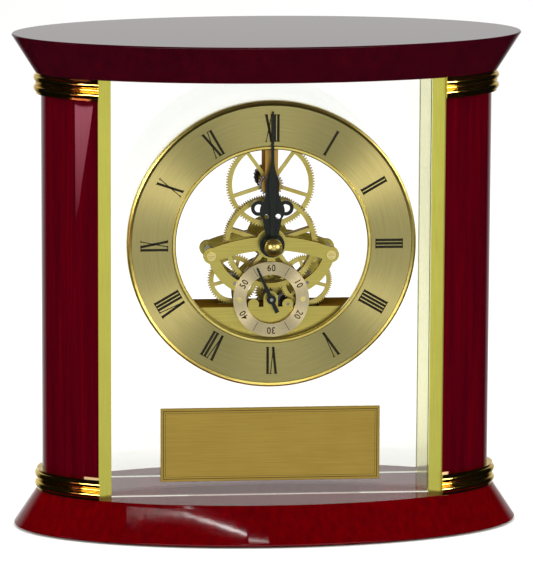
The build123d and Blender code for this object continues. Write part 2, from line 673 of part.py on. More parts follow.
def make_box():
    """Open-backed box in the lower part of the case, with the bearing lobe of the seconds arbor."""
    rotor_mirror = (-ROTOR[0], ROTOR[1])
    face = segment(BOX_R, BOX_TOP) + Pos(*SECONDS) * Circle(2.6)
    face += Pos(0, (SECONDS[1] + BOX_TOP) / 2) * Rectangle(5.2, SECONDS[1] - BOX_TOP)
    face += Pos(*ROTOR) * Circle(2.0) + Pos(*rotor_mirror) * Circle(2.0)
    face -= pivot_holes([SECONDS]) + pivot_holes([ROTOR], 0.5 + CLEARANCE)
    box = plate(face, BOX_FRONT, BOX_FRONT + BOX_WALL)
    outer = segment(BOX_R, BOX_TOP)
    hollow = segment(BOX_R - BOX_WALL, BOX_TOP - BOX_WALL)
    box += plate(outer - hollow, BOX_FRONT, PLATE_FRONT)
    motor_back = STATOR_FRONT + 3.0
    for low_x, high_x, front, back in (
        (2.4, 17.8, BOX_FRONT + BOX_WALL, motor_back),
        (ROTOR[0] - 1.1, ROTOR[0] + 1.1, motor_back, PLATE_FRONT),
        (-18.5, -8.5, THIRD_PLANE - 0.9, THIRD_PLANE + 0.9),
        (-5.8, 5.8, SECONDS_PLANE - 0.9, PLATE_FRONT),
    ):
        top = DIAL_Z + BOX_TOP
        box -= box_between((low_x, front, top - 2 * BOX_WALL), (high_x, back, top + 1))
    nodes["movement_box"] = box


def radial_screw(angle, inward):
    """A small screw through the case wall towards the dial's axis."""
    wall_r = CASE_OUTER_R
    head = Cylinder(1.1, 0.5, align=(Align.CENTER, Align.CENTER, Align.MIN))
    shank = Pos(0, 0, -inward) * Cylinder(0.5, inward, align=(Align.CENTER, Align.CENTER, Align.MIN))
    x, z = polar(wall_r, radians(angle))
    place = Plane(origin=(x, -10, DIAL_Z + z), z_dir=(x, 0, z))
    return place * (head + shank)


def make_case_screws():
    """Screws that hold the box and the post in the case; each part has its hole."""
    inward = CASE_WALL + 0.9
    screws = [radial_screw(angle, inward) for angle in (-40, -90, -140)]
    nodes["case_screws"] = Part() + screws
    for name in ("insert_case", "movement_box"):
        for screw in screws:
            nodes[name] -= screw


# ---------------------------------------------------------------- motor and battery


def make_motor():
    """Stator with its core, coil and circuit board."""
    back = STATOR_FRONT + 1.0
    foot_z = -35.0
    outline = Pos(*ROTOR) * Circle(STATOR_RING_R)
    outline += Pos(9.6, -30.0) * Rectangle(3.0, 13.0) + Pos(21.4, -31.0) * Rectangle(2.6, 12.0)
    outline += Pos(14.6, -26.0) * Rectangle(15.0, 2.6)
    outline -= Pos(*ROTOR) * Circle(STATOR_BORE_R) + Pos(11.6, -26.0) * Rectangle(0.5, 4.0)
    blade = plate(outline & segment(BOX_R - BOX_WALL - 0.3, BOX_TOP + 5.0), STATOR_FRONT, back)
    middle = DIAL_Z + foot_z
    core = box_between((8.1, STATOR_FRONT - 1.0, middle - 1.0), (22.7, STATOR_FRONT, middle + 1.0))
    nodes["stator"] = blade + core
    coil_place = Plane(origin=(11.4, STATOR_FRONT - 0.5, middle), x_dir=(0, 1, 0), z_dir=(1, 0, 0))
    nodes["coil"] = extrude(coil_place * Circle(2.9), amount=8.4) - nodes["stator"]
    board = box_between((12.0, -6.6, DIAL_Z - 35.0), (27.0, -5.8, DIAL_Z - 25.4))
    chip = box_between((17.0, -7.4, DIAL_Z - 32.0), (21.0, -6.6, DIAL_Z - 29.0))
    crystal = box_between((23.0, -7.8, DIAL_Z - 33.0), (24.6, -6.6, DIAL_Z - 28.0))
    nodes["circuit_board"] = board + chip + crystal


def make_battery():
    """Size N cell on its side, its two contact blades and the sliding door behind it."""
    half = BATTERY_LENGTH / 2
    left = BATTERY_X - half
    right = BATTERY_X + half
    place = Plane(origin=(left, BATTERY_Y, DIAL_Z + BATTERY_Z), x_dir=(0, 1, 0), z_dir=(1, 0, 0))
    cell = extrude(place * Circle(BATTERY_R), amount=BATTERY_LENGTH - 1.0)
    cell += extrude(place.offset(BATTERY_LENGTH - 1.0) * Circle(2.2), amount=1.0)
    nodes["battery"] = cell
    z = DIAL_Z + BATTERY_Z
    ends = (left - 0.25, right + 0.25)
    blades = [box_between((x - 0.25, -14.0, z - 3.0), (x + 0.25, -6.0, z + 3.0)) for x in ends]
    nodes["battery_contacts"] = Part() + blades
    low = DIAL_Z + BATTERY_Z - BATTERY_R - 1.0
    high = DIAL_Z + BATTERY_Z + BATTERY_R + 1.0
    door = box_between((left - 1.6, PLATE_BACK + 0.05, low), (right + 1.6, PLATE_BACK + 1.05, high))
    door -= box_between((right - 1.2, PLATE_BACK + 0.65, low + 4), (right - 0.4, PLATE_BACK + 2, high - 4))
    nodes["battery_door"] = door
    rails = []
    for inner, outer in ((low - 0.1, low - 0.9), (high + 0.1, high + 0.9)):
        lip = inner + (0.9 if inner < z else -0.9)
        edge = sorted((inner, outer))
        cover = sorted((lip, outer))
        rail = box_between((left + 2, PLATE_BACK, edge[0]), (right + 6, PLATE_BACK + 1.15, edge[1]))
        rail += box_between((left + 2, PLATE_BACK + 1.15, cover[0]), (right + 6, PLATE_BACK + 1.75, cover[1]))
        rails.append(rail)
    nodes["rear_plate"] += rails


# ---------------------------------------------------------------- hands and knob


def make_hands():
    """Spade hour hand, slender minute hand and the small counterweighted seconds hand."""
    hour = Circle(4.5) + Pos(0, 12.4) * Circle(4.5)
    hour += Polygon((-2.3, 3.6), (2.3, 3.6), (3.5, 9.6), (-3.5, 9.6), align=None)
    for x, z, radius in ((-2.1, 10.4, 0.8), (2.1, 10.4, 0.95), (0, 8.0, 0.75)):
        hour -= Pos(x, z) * Circle(radius)
    for side in (-1, 1):
        hour += Pos(side * 4.9, 13.4) * (Circle(2.75) - Circle(1.45))
    hour += Polygon(
        (-3.4, 15.2), (3.4, 15.2), (2.3, 19.0), (2.6, 22.4), (1.0, 27.5), (0.3, 32.5), (-0.3, 32.5),
        (-1.0, 27.5), (-2.6, 22.4), (-2.3, 19.0), align=None
    )
    hour -= Circle(HOUR_PIPE_R)
    nodes["hour_hand"] = plate(hour, HOUR_FRONT, HOUR_FRONT + HAND_THICKNESS)

    minute = Circle(3.6) + Polygon(
        (-0.9, 0), (0.9, 0), (0.75, 12.0), (1.35, 18.0), (1.5, 22.0), (0.6, 30.0), (0.35, 48.5),
        (-0.35, 48.5), (-0.6, 30.0), (-1.5, 22.0), (-1.35, 18.0), (-0.75, 12.0), align=None
    )
    minute -= Circle(CANNON_R)
    nodes["minute_hand"] = plate(minute, MINUTE_FRONT, MINUTE_FRONT + HAND_THICKNESS)

    ball = Pos(0, NUT_BALL_Y, DIAL_Z) * Sphere(NUT_BALL_R)
    nut = ball + disc(2.4, NUT_BALL_Y, MINUTE_FRONT)
    nodes["hand_nut"] = nut - disc(CANNON_R, THREAD_FRONT, MINUTE_FRONT)

    seconds = Circle(1.7) + Polygon((-0.75, 0), (0.75, 0), (0.35, 12.7), (-0.35, 12.7), align=None)
    seconds += Polygon((-0.6, 0), (-0.8, -5.2), (0.8, -5.2), (0.6, 0), align=None)
    seconds -= Circle(ARBOR_R)
    seconds = Pos(*SECONDS) * Rot(0, 0, 24) * seconds
    nodes["seconds_hand"] = plate(seconds, SECONDS_FRONT, SECONDS_FRONT + 0.4)


def make_knob():
    """Fluted setting knob on the rear end of the minute wheel's arbor."""
    flutes = 20
    outline = [polar(4.5 if i % 2 else 4.1, pi * i / flutes) for i in range(2 * flutes)]
    grip = extrude(dial_plane(KNOB_BACK) * Pos(*UPPER) * Face(polygon_wire(outline)), amount=4.0)
    boss = disc(2.0, PLATE_BACK + 0.3, KNOB_BACK - 4.0, UPPER)
    nodes["setting_knob"] = grip + boss - shaft(UPPER, ARBOR_R, PLATE_BACK, KNOB_BACK - 1.6)


def build():
    make_slabs()
    make_tie_rods()
    make_columns()
    make_collars()
    make_channels()
    make_panes()
    make_plaque()
    make_insert_case()
    make_bridges()
    make_screws()
    make_sub_dial()
    make_upper_post()
    make_box()
    make_case_screws()
    make_motor()
    make_battery()
    setting_train()
    third_stage()
    seconds_stage(transfer_stage())
    rotor_stage()
    make_hands()
    make_knob()
    os.makedirs("parts", exist_ok=True)
    for name, solid in nodes.items():
        export_step(solid, f"parts/{name}.step")


build()
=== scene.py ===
import math

import bmesh
import bpy
from mathutils import Matrix, Vector


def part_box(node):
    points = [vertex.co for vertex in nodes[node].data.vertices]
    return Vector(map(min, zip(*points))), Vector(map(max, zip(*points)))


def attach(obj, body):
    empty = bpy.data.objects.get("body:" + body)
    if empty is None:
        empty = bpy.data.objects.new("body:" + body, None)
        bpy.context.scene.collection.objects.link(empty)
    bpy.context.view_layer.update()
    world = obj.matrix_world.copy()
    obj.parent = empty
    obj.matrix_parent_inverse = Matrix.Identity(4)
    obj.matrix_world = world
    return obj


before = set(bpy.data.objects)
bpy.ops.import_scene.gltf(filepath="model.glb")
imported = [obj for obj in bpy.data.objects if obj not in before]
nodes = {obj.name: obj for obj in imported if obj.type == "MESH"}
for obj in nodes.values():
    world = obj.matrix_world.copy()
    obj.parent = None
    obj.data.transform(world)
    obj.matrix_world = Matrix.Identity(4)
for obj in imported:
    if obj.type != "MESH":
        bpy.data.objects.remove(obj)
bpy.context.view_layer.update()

scene = bpy.context.scene

# Everything is in metres. The dial faces -Y and its centre is DIAL; the small dial's is SMALL.
MM = 0.001
bezel_low, bezel_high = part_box("bezel")
ring_low, ring_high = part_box("sub_dial_ring")
DIAL = Vector(((bezel_low.x + bezel_high.x) / 2, 0, (bezel_low.z + bezel_high.z) / 2))
SMALL = Vector(((ring_low.x + ring_high.x) / 2, 0, (ring_low.z + ring_high.z) / 2))
DIAL_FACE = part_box("chapter_ring")[0].y
SMALL_FACE = ring_low.y


def srgb(r, g, b):
    """A linear colour from one given as 0-255 display values."""
    def linear(c):
        c = c / 255
        return c / 12.92 if c <= 0.04045 else ((c + 0.055) / 1.055) ** 2.4
    return (linear(r), linear(g), linear(b), 1.0)


# ---------------------------------------------------------------- material helpers


class Graph:
    """Short calls that add nodes to a node tree and link them."""

    def __init__(self, tree):
        self.tree = tree

    def join(self, value, socket):
        """Links a socket to another node's output, or gives it a constant."""
        if isinstance(value, bpy.types.NodeSocket):
            self.tree.links.new(value, socket)
        else:
            socket.default_value = value

    def node(self, kind, inputs=None, **settings):
        made = self.tree.nodes.new("ShaderNode" + kind)
        for key, value in settings.items():
            setattr(made, key, value)
        for key, value in (inputs or {}).items():
            self.join(value, made.inputs[key])
        return made

    def split(self, vector):
        return self.node("SeparateXYZ", {0: vector}).outputs

    def math(self, operation, a, b=0.0):
        return self.node("Math", {0: a, 1: b}, operation=operation).outputs[0]

    def vector_math(self, operation, a, b=(0, 0, 0)):
        return self.node("VectorMath", {0: a, 1: b}, operation=operation).outputs[0]

    def span(self, value, low, high, from_low=0.0, from_high=1.0, easing="LINEAR"):
        """Maps a value from one range to another, and holds it at the ends."""
        return self.node("MapRange", {
            "Value": value, "From Min": from_low, "From Max": from_high, "To Min": low, "To Max": high,
        }, interpolation_type=easing).outputs[0]

    def noise(self, vector, scale=1.0, detail=3.0, roughness=0.6):
        return self.node("TexNoise", {
            "Vector": vector, "Scale": scale, "Detail": detail, "Roughness": roughness,
        }).outputs["Fac"]

    def ramp(self, value, *stops):
        """Colours along a value, from (place, colour) stops."""
        made = self.node("ValToRGB", {0: value})
        elements = made.color_ramp.elements
        while len(elements) < len(stops):
            elements.new(0.5)
        for element, (at, colour) in zip(elements, stops):
            element.position = at
            element.color = colour
        return made.outputs[0]

    def mix(self, share, a, b, blend="MIX"):
        made = self.node("Mix", data_type="RGBA", blend_type=blend)
        for socket, value in ((0, share), (6, a), (7, b)):
            self.join(value, made.inputs[socket])
        return made.outputs[2]


class Shade(Graph):
    """One material: a Principled shader and the nodes that drive it."""

    def __init__(self, name, **sockets):
        self.material = bpy.data.materials.new(name)
        self.material.use_nodes = True
        super().__init__(self.material.node_tree)
        self.bsdf = self.tree.nodes["Principled BSDF"]
        for key, value in sockets.items():
            self.drive(key.replace("_", " "), value)

    def drive(self, socket, value):
        self.join(value, self.bsdf.inputs[socket])

    def place(self, centre=(0, 0, 0), scale=(1, 1, 1)):
        """Object coordinates from a centre, scaled along each axis."""
        coordinates = self.node("TexCoord").outputs["Object"]
        moved = self.vector_math("SUBTRACT", coordinates, tuple(centre))
        return self.vector_math("MULTIPLY", moved, tuple(scale))

    def polar(self, centre, radial, angular):
        """Coordinates that run along the radius and round the angle about an axis along Y."""
        x, _, z = self.split(self.place(centre))
        flat = self.node("CombineXYZ", {0: x, 1: z}).outputs[0]
        radius = self.node("VectorMath", {0: flat}, operation="LENGTH").outputs["Value"]
        angle = self.math("ARCTAN2", z, x)
        return self.node("CombineXYZ", {
            0: self.math("MULTIPLY", radius, radial),
            1: self.math("MULTIPLY", angle, angular),
        }).outputs[0]

    def facing(self, axis):
        """1 on faces square to an axis, numbered 0 to 2, and 0 on faces along it."""
        return self.math("ABSOLUTE", self.split(self.node("NewGeometry").outputs["Normal"])[axis])

    def face_on(self):
        """1 on faces square to the dial's axis, falling quickly to 0 on cut edges, where shade is
        painted.
        """
        return self.math("POWER", self.facing(1), 3.0)

    def bump(self, height, distance):
        """Raises the surface by a height map, in metres."""
        made = self.node("Bump", {"Height": height, "Distance": distance})
        self.drive("Normal", made.outputs[0])


def dress(shade, *names):
    """Gives CAD nodes this material."""
    for name in names:
        mesh_object = nodes[name]
        if not mesh_object.material_slots:
            mesh_object.data.materials.append(shade.material)
        for material_slot in mesh_object.material_slots:
            material_slot.material = shade.material


# ---------------------------------------------------------------- materials


# A slab's flared side narrows by SLAB_INSET over its height. Its rims are rounded inside SLAB_RIM of
# each face, and the rounding takes RIM_LOSS off each side of the widest oval.
SLAB_INSET = 8.8 * MM
SLAB_RIM = 1.1 * MM
RIM_LOSS = 0.405 * MM


def flared_normal(s, slab):
    """The exact normal of a slab's flared oval side, which smooths the facets of its mesh."""
    low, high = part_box(slab)
    wide_z, narrow_z = (low.z, high.z) if slab == "base" else (high.z, low.z)
    x, y, z = s.split(s.node("TexCoord").outputs["Object"])
    inset = s.span(z, 0.0, SLAB_INSET, wide_z, narrow_z)
    half_x = s.math("SUBTRACT", (high.x - low.x) / 2 + RIM_LOSS, inset)
    half_y = s.math("SUBTRACT", (high.y - low.y) / 2 + RIM_LOSS, inset)
    across_x = s.math("DIVIDE", x, half_x)
    across_y = s.math("DIVIDE", y, half_y)
    normal_x = s.math("DIVIDE", across_x, half_x)
    normal_y = s.math("DIVIDE", across_y, half_y)
    lean = s.math("ADD", s.math("MULTIPLY", across_x, normal_x), s.math("MULTIPLY", across_y, normal_y))
    normal_z = s.math("MULTIPLY", lean, SLAB_INSET / (narrow_z - wide_z))
    outward = s.node("CombineXYZ", {0: normal_x, 1: normal_y, 2: normal_z}).outputs[0]
    exact = s.vector_math("NORMALIZE", outward)
    meshed = s.node("NewGeometry").outputs["Normal"]
    from_middle = s.math("ABSOLUTE", s.math("SUBTRACT", z, (low.z + high.z) / 2))
    on_side = s.math("LESS_THAN", from_middle, (high.z - low.z) / 2 - SLAB_RIM)
    return s.mix(on_side, meshed, exact)


def lacquer(name, dark, middle, light, slab=None):
    """Deep red piano lacquer over wood with a faint upright figure."""
    s = Shade(
        name, Roughness=0.4, Specular_IOR_Level=0.0, Coat_Weight=1.0, Coat_Roughness=0.02, Coat_IOR=1.6
    )
    grain = s.noise(s.place(scale=(420, 420, 14)), detail=5.0, roughness=0.7)
    cloud = s.noise(s.place(scale=(30, 30, 12)), detail=1.0)
    red = s.ramp(grain, (0.32, dark), (0.52, middle), (0.72, light))
    shade = s.ramp(cloud, (0.3, (0.84, 0.84, 0.9, 1)), (0.7, (1.0, 1.0, 1.0, 1)))
    s.drive("Base Color", s.mix(1.0, red, shade, "MULTIPLY"))
    if slab:
        normal = flared_normal(s, slab)
        s.drive("Normal", normal)
        s.drive("Coat Normal", normal)
    else:
        s.bump(s.noise(s.place(), scale=140, detail=1.0), 0.0002 * MM)
    return s


def polished(name, light, dark, roughness=0.09, wear=0.05):
    """Polished plated brass with faint smears and tarnish."""
    s = Shade(name, Metallic=1.0)
    smear = s.noise(s.place(scale=(90, 90, 240)), detail=4.0)
    s.drive("Base Color", s.ramp(smear, (0.25, dark), (0.65, light)))
    s.drive("Roughness", s.span(s.noise(s.place(), scale=420), roughness, roughness + wear))
    s.bump(s.noise(s.place(), scale=900, detail=2.0), 0.003 * MM)
    return s


def straight_brushed(name, light, dark, along="x", roughness=0.3, grain=5200, painted_side_shade=None):
    """Brushed metal whose fine lines run along one axis; a side colour, if given, is painted shade on
    the cut edges, which are dull and not metallic.
    """
    scale = {"x": (70, 300, grain), "z": (grain, 300, 70), "y": (grain, 70, grain)}[along]
    s = Shade(name, Metallic=1.0)
    lines = s.noise(s.place(scale=scale), detail=2.0)
    patches = s.ramp(s.noise(s.place(), scale=60), (0.3, (0.93, 0.92, 0.90, 1)), (0.7, (1, 1, 1, 1)))
    tone = s.ramp(lines, (0.28, dark), (0.72, light))
    tone = s.mix(1.0, tone, patches, "MULTIPLY")
    if painted_side_shade:
        # Painted shade: the cut edges take the given dark colour.
        face = s.face_on()
        tone = s.mix(face, painted_side_shade, tone)
        s.drive("Metallic", face)
        s.drive("Specular IOR Level", 0.0)
    s.drive("Base Color", tone)
    s.drive("Roughness", s.span(lines, roughness, roughness + 0.14))
    s.bump(lines, 0.008 * MM)
    return s


def round_brushed(name, light, dark, centre, roughness=0.36, anisotropic=0.9):
    """Dial metal brushed in circles about a centre."""
    s = Shade(name, Metallic=1.0, Anisotropic=anisotropic, Anisotropic_Rotation=0.25)
    lines = s.noise(s.polar(centre, 5200, 2.2), detail=2.0)
    fine = s.noise(s.polar(centre, 14000, 6.0), detail=1.0)
    tone = s.math("ADD", s.math("MULTIPLY", lines, 0.6), s.math("MULTIPLY", fine, 0.4))
    s.drive("Base Color", s.ramp(tone, (0.3, dark), (0.7, light)))
    s.drive("Roughness", s.span(lines, roughness, roughness + 0.1))
    tangent = s.node("Tangent", direction_type="RADIAL", axis="Y")
    s.drive("Tangent", tangent.outputs[0])
    s.bump(tone, 0.006 * MM)
    return s


def gear_metal():
    """Stamped brass with turned faces, and dark brown painted shade on its cut edges."""
    s = Shade("gear_brass", Metallic=1.0)
    speckle = s.noise(s.place(), scale=1400, detail=3.0)
    smear = s.noise(s.place(), scale=150)
    face = s.ramp(smear, (0.3, srgb(190, 170, 84)), (0.7, srgb(214, 202, 116)))
    # Painted shade: the cut edges are coloured dark brown.
    painted_side_shade = s.ramp(speckle, (0.3, srgb(86, 54, 10)), (0.7, srgb(140, 100, 30)))
    s.drive("Base Color", s.mix(s.face_on(), painted_side_shade, face))
    s.drive("Roughness", s.span(speckle, 0.24, 0.40))
    s.bump(speckle, 0.006 * MM)
    return s


def dark_enamel():
    """Black satin enamel of the hands."""
    s = Shade("hand_enamel", Specular_IOR_Level=0.22)
    grain = s.noise(s.place(), scale=2600, detail=2.0)
    s.drive("Base Color", s.ramp(grain, (0.3, srgb(6, 9, 7)), (0.7, srgb(18, 24, 20))))
    s.drive("Roughness", s.span(s.noise(s.place(), scale=500), 0.14, 0.26))
    s.bump(grain, 0.004 * MM)
    return s


def printing_ink():
    """Dull black ink of the dials and of the plaque's border."""
    s = Shade("dial_ink", Specular_IOR_Level=0.12)
    grain = s.noise(s.place(), scale=3000, detail=2.0)
    s.drive("Base Color", s.ramp(grain, (0.3, srgb(16, 14, 8)), (0.7, srgb(38, 34, 20))))
    s.drive("Roughness", s.span(grain, 0.4, 0.6))
    return s


def turned_steel(name, light, dark, roughness=0.28):
    """Steel with fine turning marks across Y."""
    s = Shade(name, Metallic=1.0)
    lines = s.noise(s.place(scale=(400, 5200, 400)), detail=2.0)
    s.drive("Base Color", s.ramp(lines, (0.3, dark), (0.7, light)))
    s.drive("Roughness", s.span(lines, roughness, roughness + 0.15))
    s.bump(lines, 0.006 * MM)
    return s


# Faces of the glass whose normal is this upright glow with a painted highlight: its top, its foot and
# parts of its hole's rim.
GLOWING_END = 0.7


def clear_glass():
    """Clear float glass, faintly green, open to lamps, whose ends glow as a painted highlight."""
    s = Shade("clear_glass", Roughness=0.0, IOR=1.5, Transmission_Weight=1.0)
    dust = s.noise(s.place(), scale=900, detail=2.0)
    tint = s.ramp(dust, (0.2, (0.958, 0.974, 0.958, 1)), (0.8, (0.976, 0.986, 0.972, 1)))
    s.drive("Base Color", tint)
    # Painted highlight: the glass's ends glow in this colour.
    end_highlight_colour = s.ramp(dust, (0.2, (0.86, 0.90, 0.80, 1)), (0.8, (0.96, 1.0, 0.90, 1)))
    painted_end_highlight = s.node("Emission", {"Color": end_highlight_colour})
    end = s.math("GREATER_THAN", s.facing(2), GLOWING_END)
    pane = s.node("MixShader", {0: end, 1: s.bsdf.outputs[0], 2: painted_end_highlight.outputs[0]})
    clear = s.node("BsdfTransparent", {"Color": (0.95, 0.97, 0.96, 1)})
    shadow = s.node("LightPath").outputs["Is Shadow Ray"]
    both = s.node("MixShader", {0: shadow, 1: pane.outputs[0], 2: clear.outputs[0]})
    s.join(both.outputs[0], s.tree.nodes["Material Output"].inputs["Surface"])
    return s


def moulded(name, light, dark, roughness=0.42):
    """Fine-grained moulded plastic or rubber."""
    s = Shade(name)
    grain = s.noise(s.place(), scale=2200, detail=3.0)
    s.drive("Base Color", s.ramp(grain, (0.3, dark), (0.7, light)))
    s.drive("Roughness", s.span(s.noise(s.place(), scale=700), roughness, roughness + 0.15))
    s.bump(grain, 0.015 * MM)
    return s


def felt():
    """Matted black fibres."""
    s = Shade("felt", Roughness=0.95, Sheen_Weight=0.6)
    fibres = s.noise(s.place(scale=(1, 1, 2)), scale=1800, detail=5.0, roughness=0.8)
    s.drive("Base Color", s.ramp(fibres, (0.3, srgb(14, 14, 15)), (0.75, srgb(52, 50, 52))))
    s.bump(fibres, 0.12 * MM)
    return s


def winding():
    """Enamelled copper wire wound side by side along X."""
    s = Shade("copper_wire", Metallic=0.9)
    inputs = {"Vector": s.place(), "Scale": 1300.0, "Distortion": 0.4}
    wave = s.node("TexWave", inputs, bands_direction="X")
    turns = wave.outputs["Fac"]
    s.drive("Base Color", s.ramp(turns, (0.1, srgb(86, 36, 14)), (0.8, srgb(206, 116, 62))))
    s.drive("Roughness", s.span(turns, 0.45, 0.25))
    s.bump(turns, 0.05 * MM)
    return s


def circuit():
    """Green board with rows of tinned tracks."""
    s = Shade("board", Roughness=0.35)
    cells = s.node("TexBrick", {
        "Vector": s.place(scale=(520, 1, 520)), "Scale": 1.0, "Mortar Size": 0.04,
        "Color1": srgb(16, 74, 38), "Color2": srgb(22, 88, 46), "Mortar": srgb(120, 150, 84),
    })
    s.drive("Base Color", cells.outputs[0])
    s.drive("Roughness", s.span(s.noise(s.place(), scale=900), 0.25, 0.45))
    return s


SLEEVE_DARK = 0.72  # share of the cell's length that the sleeve's dark part covers


def sleeve():
    """Plain two-tone printed sleeve of the cell."""
    s = Shade("battery_sleeve", Metallic=0.4)
    along = s.split(s.place())[0]
    grain = s.noise(s.place(), scale=1600, detail=2.0)
    low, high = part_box("battery")
    band = s.math("GREATER_THAN", along, low.x + SLEEVE_DARK * (high.x - low.x))
    dark = s.ramp(grain, (0.3, srgb(34, 36, 42)), (0.7, srgb(54, 57, 66)))
    warm = s.ramp(grain, (0.3, srgb(168, 104, 40)), (0.7, srgb(198, 132, 60)))
    s.drive("Base Color", s.mix(band, dark, warm))
    s.drive("Roughness", s.span(grain, 0.25, 0.4))
    return s


# One red lacquer in three copies for light and shade: the base lighter as painted light, the columns
# darker and the top slab darkest as painted shade.
dress(lacquer("lacquer_base_painted_light", srgb(82, 0, 5), srgb(96, 0, 4), srgb(110, 0, 3), "base"), "base")
dress(lacquer("lacquer_top_painted_shade", srgb(44, 2, 12), srgb(52, 3, 14), srgb(62, 3, 14), "top_slab"), "top_slab")
dress(
    lacquer("lacquer_column_painted_shade", srgb(50, 0, 9), srgb(64, 0, 9), srgb(78, 0, 8)),
    "column_left", "column_right",
)
dress(felt(), "base_felt")
dress(
    polished("polished_brass", srgb(250, 222, 122), srgb(214, 168, 60), 0.06, 0.04),
    "collar_bottom_left", "collar_bottom_right", "collar_top_left", "collar_top_right",
)
dress(
    straight_brushed("channel_gold", srgb(214, 210, 98), srgb(196, 192, 84), "z", 0.14, 2600),
    "channel_left", "channel_right",
)
dress(clear_glass(), "front_pane", "rear_pane")
dress(
    straight_brushed("plaque_metal", srgb(206, 176, 88), srgb(188, 158, 72), "x", 0.3, 5200),
    "plaque",
)
dress(
    polished("bezel_brass", srgb(244, 230, 138), srgb(216, 192, 88), 0.26, 0.08),
    "bezel", "inner_rim",
)
dress(polished("nut_brass", srgb(232, 216, 134), srgb(196, 172, 84), 0.3, 0.06), "hand_nut")
dress(polished("case_gold", srgb(206, 186, 96), srgb(160, 128, 48), 0.2, 0.1), "insert_case")
dress(round_brushed("chapter_metal", srgb(214, 206, 140), srgb(186, 174, 110), DIAL), "chapter_ring")
dress(
    round_brushed("sub_dial_metal", srgb(238, 226, 186), srgb(214, 198, 150), SMALL, 0.34, 0.85),
    "sub_dial_ring",
)
# The last colour is painted shade on the cut edges of the plates and on the box's top.
dress(
    straight_brushed(
        "plate_gold", srgb(216, 204, 112), srgb(196, 182, 92), "x", 0.26, 3600, srgb(92, 66, 16)
    ),
    "front_bridge", "rear_plate", "movement_box",
)
# The last colour is painted shade on the post's cut sides.
dress(
    straight_brushed(
        "post_copper", srgb(206, 172, 96), srgb(170, 128, 60), "z", 0.24, 3000, srgb(86, 38, 10)
    ),
    "upper_post",
)
dress(
    gear_metal(),
    "minute_wheel", "hour_wheel", "centre_wheel", "third_wheel", "intermediate_wheel", "seconds_wheel",
    "transfer_gear", "idler_gear", "step_gear", "cannon_pinion",
)
dress(dark_enamel(), "minute_hand", "hour_hand", "seconds_hand")
dress(
    polished("screw_brass", srgb(236, 222, 150), srgb(190, 168, 90), 0.16, 0.1),
    "frame_screws", "sub_dial_screws",
)
dress(
    turned_steel("steel", srgb(186, 186, 188), srgb(120, 120, 124)),
    "centre_arbor", "third_arbor", "intermediate_arbor", "seconds_arbor", "minute_wheel_arbor",
    "rotor_arbor", "idler_studs", "frame_pillars",
)
dress(
    turned_steel("zinc_steel", srgb(200, 202, 204), srgb(140, 142, 148), 0.35),
    "tie_rods", "tie_rod_nuts", "case_screws", "battery_contacts", "threaded_inserts",
)
dress(moulded("black_plastic", srgb(30, 30, 32), srgb(14, 14, 15)), "setting_knob", "battery_door")
dress(moulded("gasket_rubber", srgb(24, 24, 24), srgb(12, 12, 12), 0.6), "case_gasket")
dress(sleeve(), "battery")
dress(turned_steel("magnet", srgb(74, 74, 78), srgb(44, 44, 48), 0.45), "rotor_magnet")
dress(
    straight_brushed("stator_iron", srgb(150, 150, 154), srgb(108, 108, 112), "x", 0.35, 2600),
    "stator",
)
dress(winding(), "coil")
dress(circuit(), "circuit_board")


# ---------------------------------------------------------------- printed dials


# All printing starts INK_SUNK inside the metal. The numerals and the ticks stand INK_PROUD out of it,
# and the plaque's border only INK_SUNK.
INK_PROUD = 0.03 * MM
INK_SUNK = 0.02 * MM
ink = printing_ink()


def link_mesh(name, mesh, shade):
    """Puts a mesh in the scene as an object with one material."""
    made = bpy.data.objects.new(name, mesh)
    scene.collection.objects.link(made)
    mesh.materials.append(shade.material)
    return made


def print_on(name, mesh):
    """Puts a mesh of printing in the scene, fixed to the case."""
    made = link_mesh(name, mesh, ink)
    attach(made, "case")


def printed(name, fill):
    """Printing from a function that fills a bmesh."""
    mesh = bpy.data.meshes.new(name)
    work = bmesh.new()
    fill(work)
    bmesh.ops.recalc_face_normals(work, faces=work.faces)
    work.to_mesh(mesh)
    work.free()
    print_on(name, mesh)


def prism(work, outline, to_world, front, back):
    """A flat piece from an outline in dial coordinates, between two depths."""
    rings = []
    for depth in (front, back):
        rings.append([work.verts.new(to_world(x, z, depth)) for x, z in outline])
    work.faces.new(rings[0])
    work.faces.new(list(reversed(rings[1])))
    count = len(outline)
    for i in range(count):
        j = (i + 1) % count
        work.faces.new((rings[0][i], rings[1][i], rings[1][j], rings[0][j]))


def on_dial(centre, radius, angle):
    """Maps x across and z outward from a radius to a place turned clockwise from 12."""
    turn = math.radians(angle)

    def to_world(x, z, depth):
        out = radius + z
        return (
            centre.x + x * math.cos(turn) + out * math.sin(turn),
            depth,
            centre.z - x * math.sin(turn) + out * math.cos(turn),
        )
    return to_world


NUMERAL_FOOT = 37.3 * MM
NUMERAL_HEIGHT = 9.9 * MM
THICK = 0.92 * MM
THIN = 0.34 * MM
SERIF = 0.30 * MM
WIDE_SERIF = 0.62 * MM
NARROW_SERIF = 0.42 * MM
LETTER_WIDTH = {"I": 1.26 * MM, "V": 2.75 * MM, "X": 2.95 * MM}
V_SPREAD = 0.95 * MM
V_OVERLAP = 0.04 * MM
X_SPREAD = 0.98 * MM


def leaning(x0, x1, width, height):
    """A stroke from the foot of a letter to its head."""
    half = width / 2
    return [(x0 - half, 0), (x0 + half, 0), (x1 + half, height), (x1 - half, height)]


def serif(x, z, half):
    """A short bar that ends a stroke at its foot or head."""
    low = z if z == 0 else z - SERIF
    return [(x - half, low), (x + half, low), (x + half, low + SERIF), (x - half, low + SERIF)]


